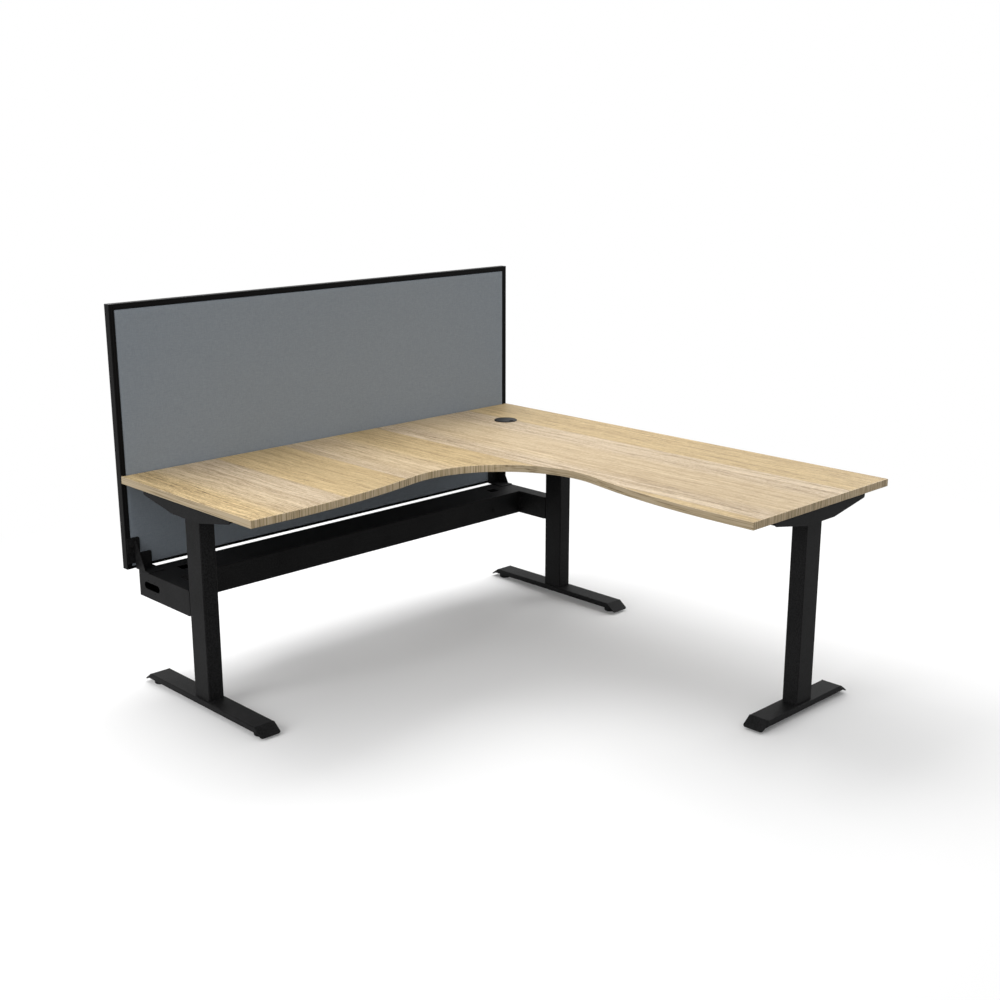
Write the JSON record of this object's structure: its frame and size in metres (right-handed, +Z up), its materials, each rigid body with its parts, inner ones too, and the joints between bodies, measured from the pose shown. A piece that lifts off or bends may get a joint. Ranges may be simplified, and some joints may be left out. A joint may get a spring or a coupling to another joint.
{
  "type": "corner workstation",
  "caption": "Corner desk with a wave-fronted worktop on fixed T-foot legs, a cable beam between the rear legs and a fabric privacy screen standing on the beam.",
  "frame": {"origin": "on the floor, under the middle of the whole workstation's box", "axes": "+Z up; +Y from the user towards the screen; +X to the user's right, where the return is"},
  "size_m": [1.8, 1.831, 1.301],
  "materials": {
    "oak_laminate": "matt light oak laminate",
    "oak_edging": "printed light oak edging",
    "black_steel": "fine-textured black powder coat",
    "black_frame": "satin black coated aluminium",
    "black_plastic": "matt black moulded plastic",
    "grey_fabric": "plain woven mid-grey fabric",
    "screen_board": "plain fibreboard",
    "black_fasteners": "blackened steel screws and bolts",
    "zinc_steel": "zinc-plated fasteners"
  },
  "bodies": {
    "workstation": {"worktop": "oak_laminate", "edge_band": "oak_edging", "grommet_sleeve": "black_plastic", "left_foot": "black_steel", "left_column": "black_steel", "left_end_plates": "black_steel", "left_top_bracket": "black_steel", "left_foot_bolts": "zinc_steel", "left_bracket_bolts": "zinc_steel", "corner_foot": "black_steel", "corner_column": "black_steel", "corner_end_plates": "black_steel", "corner_top_bracket": "black_steel", "corner_foot_bolts": "zinc_steel", "corner_bracket_bolts": "zinc_steel", "return_foot": "black_steel", "return_column": "black_steel", "return_end_plates": "black_steel", "return_top_bracket": "black_steel", "return_foot_bolts": "zinc_steel", "return_bracket_bolts": "zinc_steel", "glide_bushes": "zinc_steel", "main_front_rail": "black_steel", "main_rear_rail": "black_steel", "return_left_rail": "black_steel", "return_right_rail": "black_steel", "main_rail_plates": "black_steel", "return_rail_plates": "black_steel", "main_rail_bolts": "zinc_steel", "return_rail_bolts": "zinc_steel", "top_screws": "zinc_steel", "beam_top": "black_steel", "beam_front": "black_steel", "beam_bottom": "black_steel", "beam_left_end": "black_steel", "beam_right_end": "black_steel", "beam_rear_cover": "black_steel", "beam_cover_screws": "zinc_steel", "beam_flanges": "black_steel", "beam_flange_bolts": "zinc_steel", "column_nut_strips": "zinc_steel", "left_screen_bracket": "black_steel", "right_screen_bracket": "black_steel", "screen_bracket_bolts": "black_fasteners", "screen_screws": "black_fasteners", "screen_left_post": "black_frame", "screen_right_post": "black_frame", "screen_top_rail": "black_frame", "screen_bottom_rail": "black_frame", "screen_caps": "black_plastic", "screen_core": "screen_board", "front_fabric": "grey_fabric", "rear_fabric": "grey_fabric"},
    "lid": {"grommet_lid": "black_plastic"},
    "left_front_pad": {"left_front_glide": "black_plastic"},
    "left_rear_pad": {"left_rear_glide": "black_plastic"},
    "corner_front_pad": {"corner_front_glide": "black_plastic"},
    "corner_rear_pad": {"corner_rear_glide": "black_plastic"},
    "return_left_pad": {"return_left_glide": "black_plastic"},
    "return_right_pad": {"return_right_glide": "black_plastic"}
  },
  "joints": [
    {"name": "lid_turn", "type": "hinge", "parent": "workstation", "child": "lid", "pos_m": [0.655, 0.6395, 0.73], "axis": [0, 0, 1], "continuous": true},
    {"name": "left_front_levelling", "type": "slide", "parent": "workstation", "child": "left_front_pad", "axis": [0, 0, -1], "range_m": [0, 0.01]},
    {"name": "left_rear_levelling", "type": "slide", "parent": "workstation", "child": "left_rear_pad", "axis": [0, 0, -1], "range_m": [0, 0.01]},
    {"name": "corner_front_levelling", "type": "slide", "parent": "workstation", "child": "corner_front_pad", "axis": [0, 0, -1], "range_m": [0, 0.01]},
    {"name": "corner_rear_levelling", "type": "slide", "parent": "workstation", "child": "corner_rear_pad", "axis": [0, 0, -1], "range_m": [0, 0.01]},
    {"name": "return_left_levelling", "type": "slide", "parent": "workstation", "child": "return_left_pad", "axis": [0, 0, -1], "range_m": [0, 0.01]},
    {"name": "return_right_levelling", "type": "slide", "parent": "workstation", "child": "return_right_pad", "axis": [0, 0, -1], "range_m": [0, 0.01]}
  ]
}
